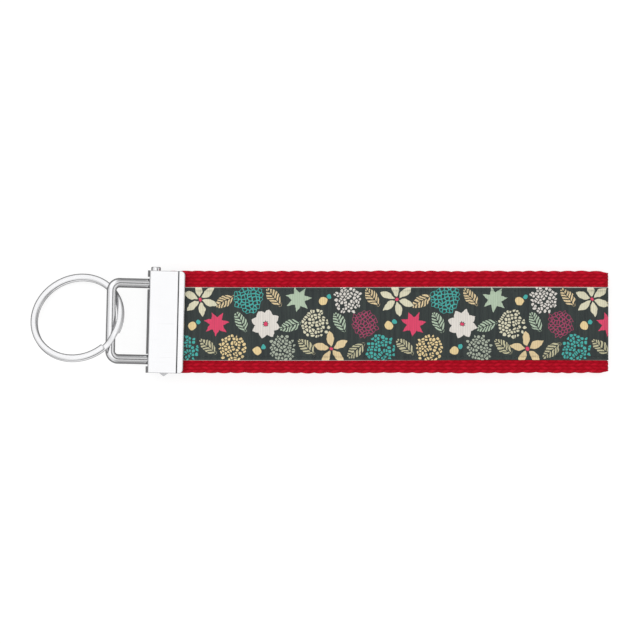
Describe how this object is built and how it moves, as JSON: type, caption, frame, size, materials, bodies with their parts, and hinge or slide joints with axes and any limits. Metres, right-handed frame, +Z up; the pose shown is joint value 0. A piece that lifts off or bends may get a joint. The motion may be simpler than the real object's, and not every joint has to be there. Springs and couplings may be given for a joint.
{
  "type": "wristlet key fob",
  "caption": "Fabric wrist strap folded into a flat loop with a printed ribbon sewn on it, its ends held in a metal clamp with a swinging wire loop and a split ring for keys.",
  "frame": {"origin": "on the surface the fob lies on, under the middle of its bounding box", "axes": "+X from the split ring to the folded end of the strap, +Y across the strap, +Z up out of the surface"},
  "size_m": [0.1803, 0.0341, 0.0156],
  "materials": {
    "webbing": "red plain-woven webbing, matt with a faint sheen",
    "ribbon": "ribbed grosgrain ribbon with a small floral print on a dark slate ground",
    "thread": "clear monofilament sewing thread",
    "clamp": "bright nickel-plated sheet steel",
    "loop_wire": "bright nickel-plated round wire",
    "ring_steel": "bright nickel-plated flat spring wire"
  },
  "bodies": {
    "strap": {"webbing": "webbing", "ribbon": "ribbon", "needle_thread_left": "thread", "needle_thread_right": "thread", "bobbin_thread_left": "thread", "bobbin_thread_right": "thread", "clamp": "clamp"},
    "loop": {"wire_loop": "loop_wire"},
    "ring": {"split_ring": "ring_steel"}
  },
  "joints": [
    {"name": "loop_tilt", "type": "hinge", "parent": "strap", "child": "loop", "pos_m": [-0.05139, -0.00005, 0.0062], "axis": [0.0244, 0.9997, 0], "range_deg": [-34, 1.5]},
    {"name": "ring_swing", "type": "hinge", "parent": "loop", "child": "ring", "pos_m": [-0.0649, 0.00028, 0.01023], "axis": [0.0244, 0.9997, 0], "range_deg": [-50, 130]}
  ]
}
